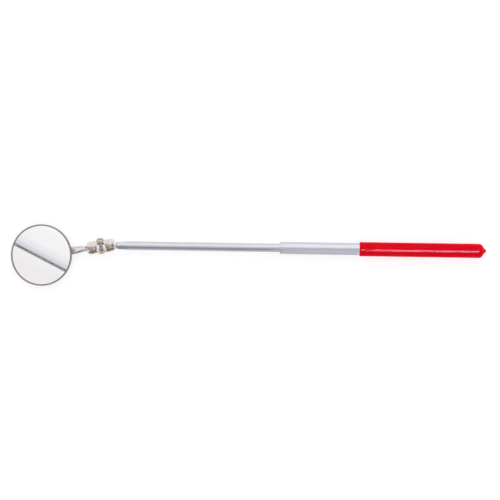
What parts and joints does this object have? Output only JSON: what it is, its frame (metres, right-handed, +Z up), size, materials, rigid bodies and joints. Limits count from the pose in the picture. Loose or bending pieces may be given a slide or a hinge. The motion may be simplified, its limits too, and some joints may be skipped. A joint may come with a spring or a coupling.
{
  "type": "telescoping inspection mirror",
  "caption": "Round glass mirror in a steel cup on a tapered stem, with a double ball clamp, a telescoping tube handle and a dipped red grip.",
  "frame": {"origin": "middle of the whole tool's footprint, at the height of the surface it lies on", "axes": "+X along the tube towards the grip, +Z up, out of the surface that the tool lies on, with the mirror's glass facing up"},
  "size_m": [0.442, 0.0572, 0.0132],
  "materials": {
    "tube_chrome": "bright drawn tube",
    "grip_vinyl": "dip-moulded, glossy",
    "plated_steel": "nickel plated, bright",
    "zinc_steel": "zinc plated, satin",
    "brass": "turned, slightly dulled",
    "rim_steel": "pressed and plated",
    "pad_felt": "felt",
    "silvered_glass": "polished"
  },
  "bodies": {
    "handle": {"outer_tube": "tube_chrome", "grip_sleeve": "grip_vinyl", "tube_end_plug": "zinc_steel", "guide_bush": "brass"},
    "shoes": {"friction_shoe_1": "brass", "friction_shoe_2": "brass"},
    "inner_stage": {"inner_tube": "tube_chrome", "stop_collar": "brass", "tube_tail_cap": "brass", "rear_stud": "plated_steel"},
    "rear_pivot": {"rear_ball": "brass"},
    "clamp": {"upper_clamp_plate": "plated_steel", "lower_clamp_plate": "plated_steel", "clamp_screw": "zinc_steel", "clamp_nut": "zinc_steel", "lock_washer": "zinc_steel"},
    "front_pivot": {"front_ball": "brass"},
    "mirror_head": {"stem": "plated_steel", "mirror_cup": "rim_steel", "backing_pad": "pad_felt", "mirror_glass": "silvered_glass"}
  },
  "joints": [
    {"name": "tube_slide", "type": "slide", "parent": "handle", "child": "shoes", "axis": [1, 0, 0], "range_m": [0, 0.146]},
    {"name": "tube_turn", "type": "hinge", "parent": "shoes", "child": "inner_stage", "pos_m": [-0.1295, 0.00997, 0.0066], "axis": [1, 0, 0], "continuous": true},
    {"name": "clamp_swing", "type": "hinge", "parent": "inner_stage", "child": "rear_pivot", "pos_m": [-0.1295, 0.00997, 0.0066], "axis": [-0.1381, 0.8721, 0.4695], "range_deg": [-75, 75]},
    {"name": "clamp_nod", "type": "hinge", "parent": "rear_pivot", "child": "clamp", "pos_m": [-0.1295, 0.00997, 0.0066], "axis": [-0.0734, 0.4637, -0.8829], "range_deg": [-3, 19]},
    {"name": "head_swing", "type": "hinge", "parent": "clamp", "child": "front_pivot", "pos_m": [-0.14511, 0.0075, 0.0066], "axis": [-0.1381, 0.8721, 0.4695], "range_deg": [-75, 75]},
    {"name": "head_spin", "type": "hinge", "parent": "front_pivot", "child": "mirror_head", "pos_m": [-0.14511, 0.0075, 0.0066], "axis": [0.9823, 0.1556, 0.104], "continuous": true}
  ]
}
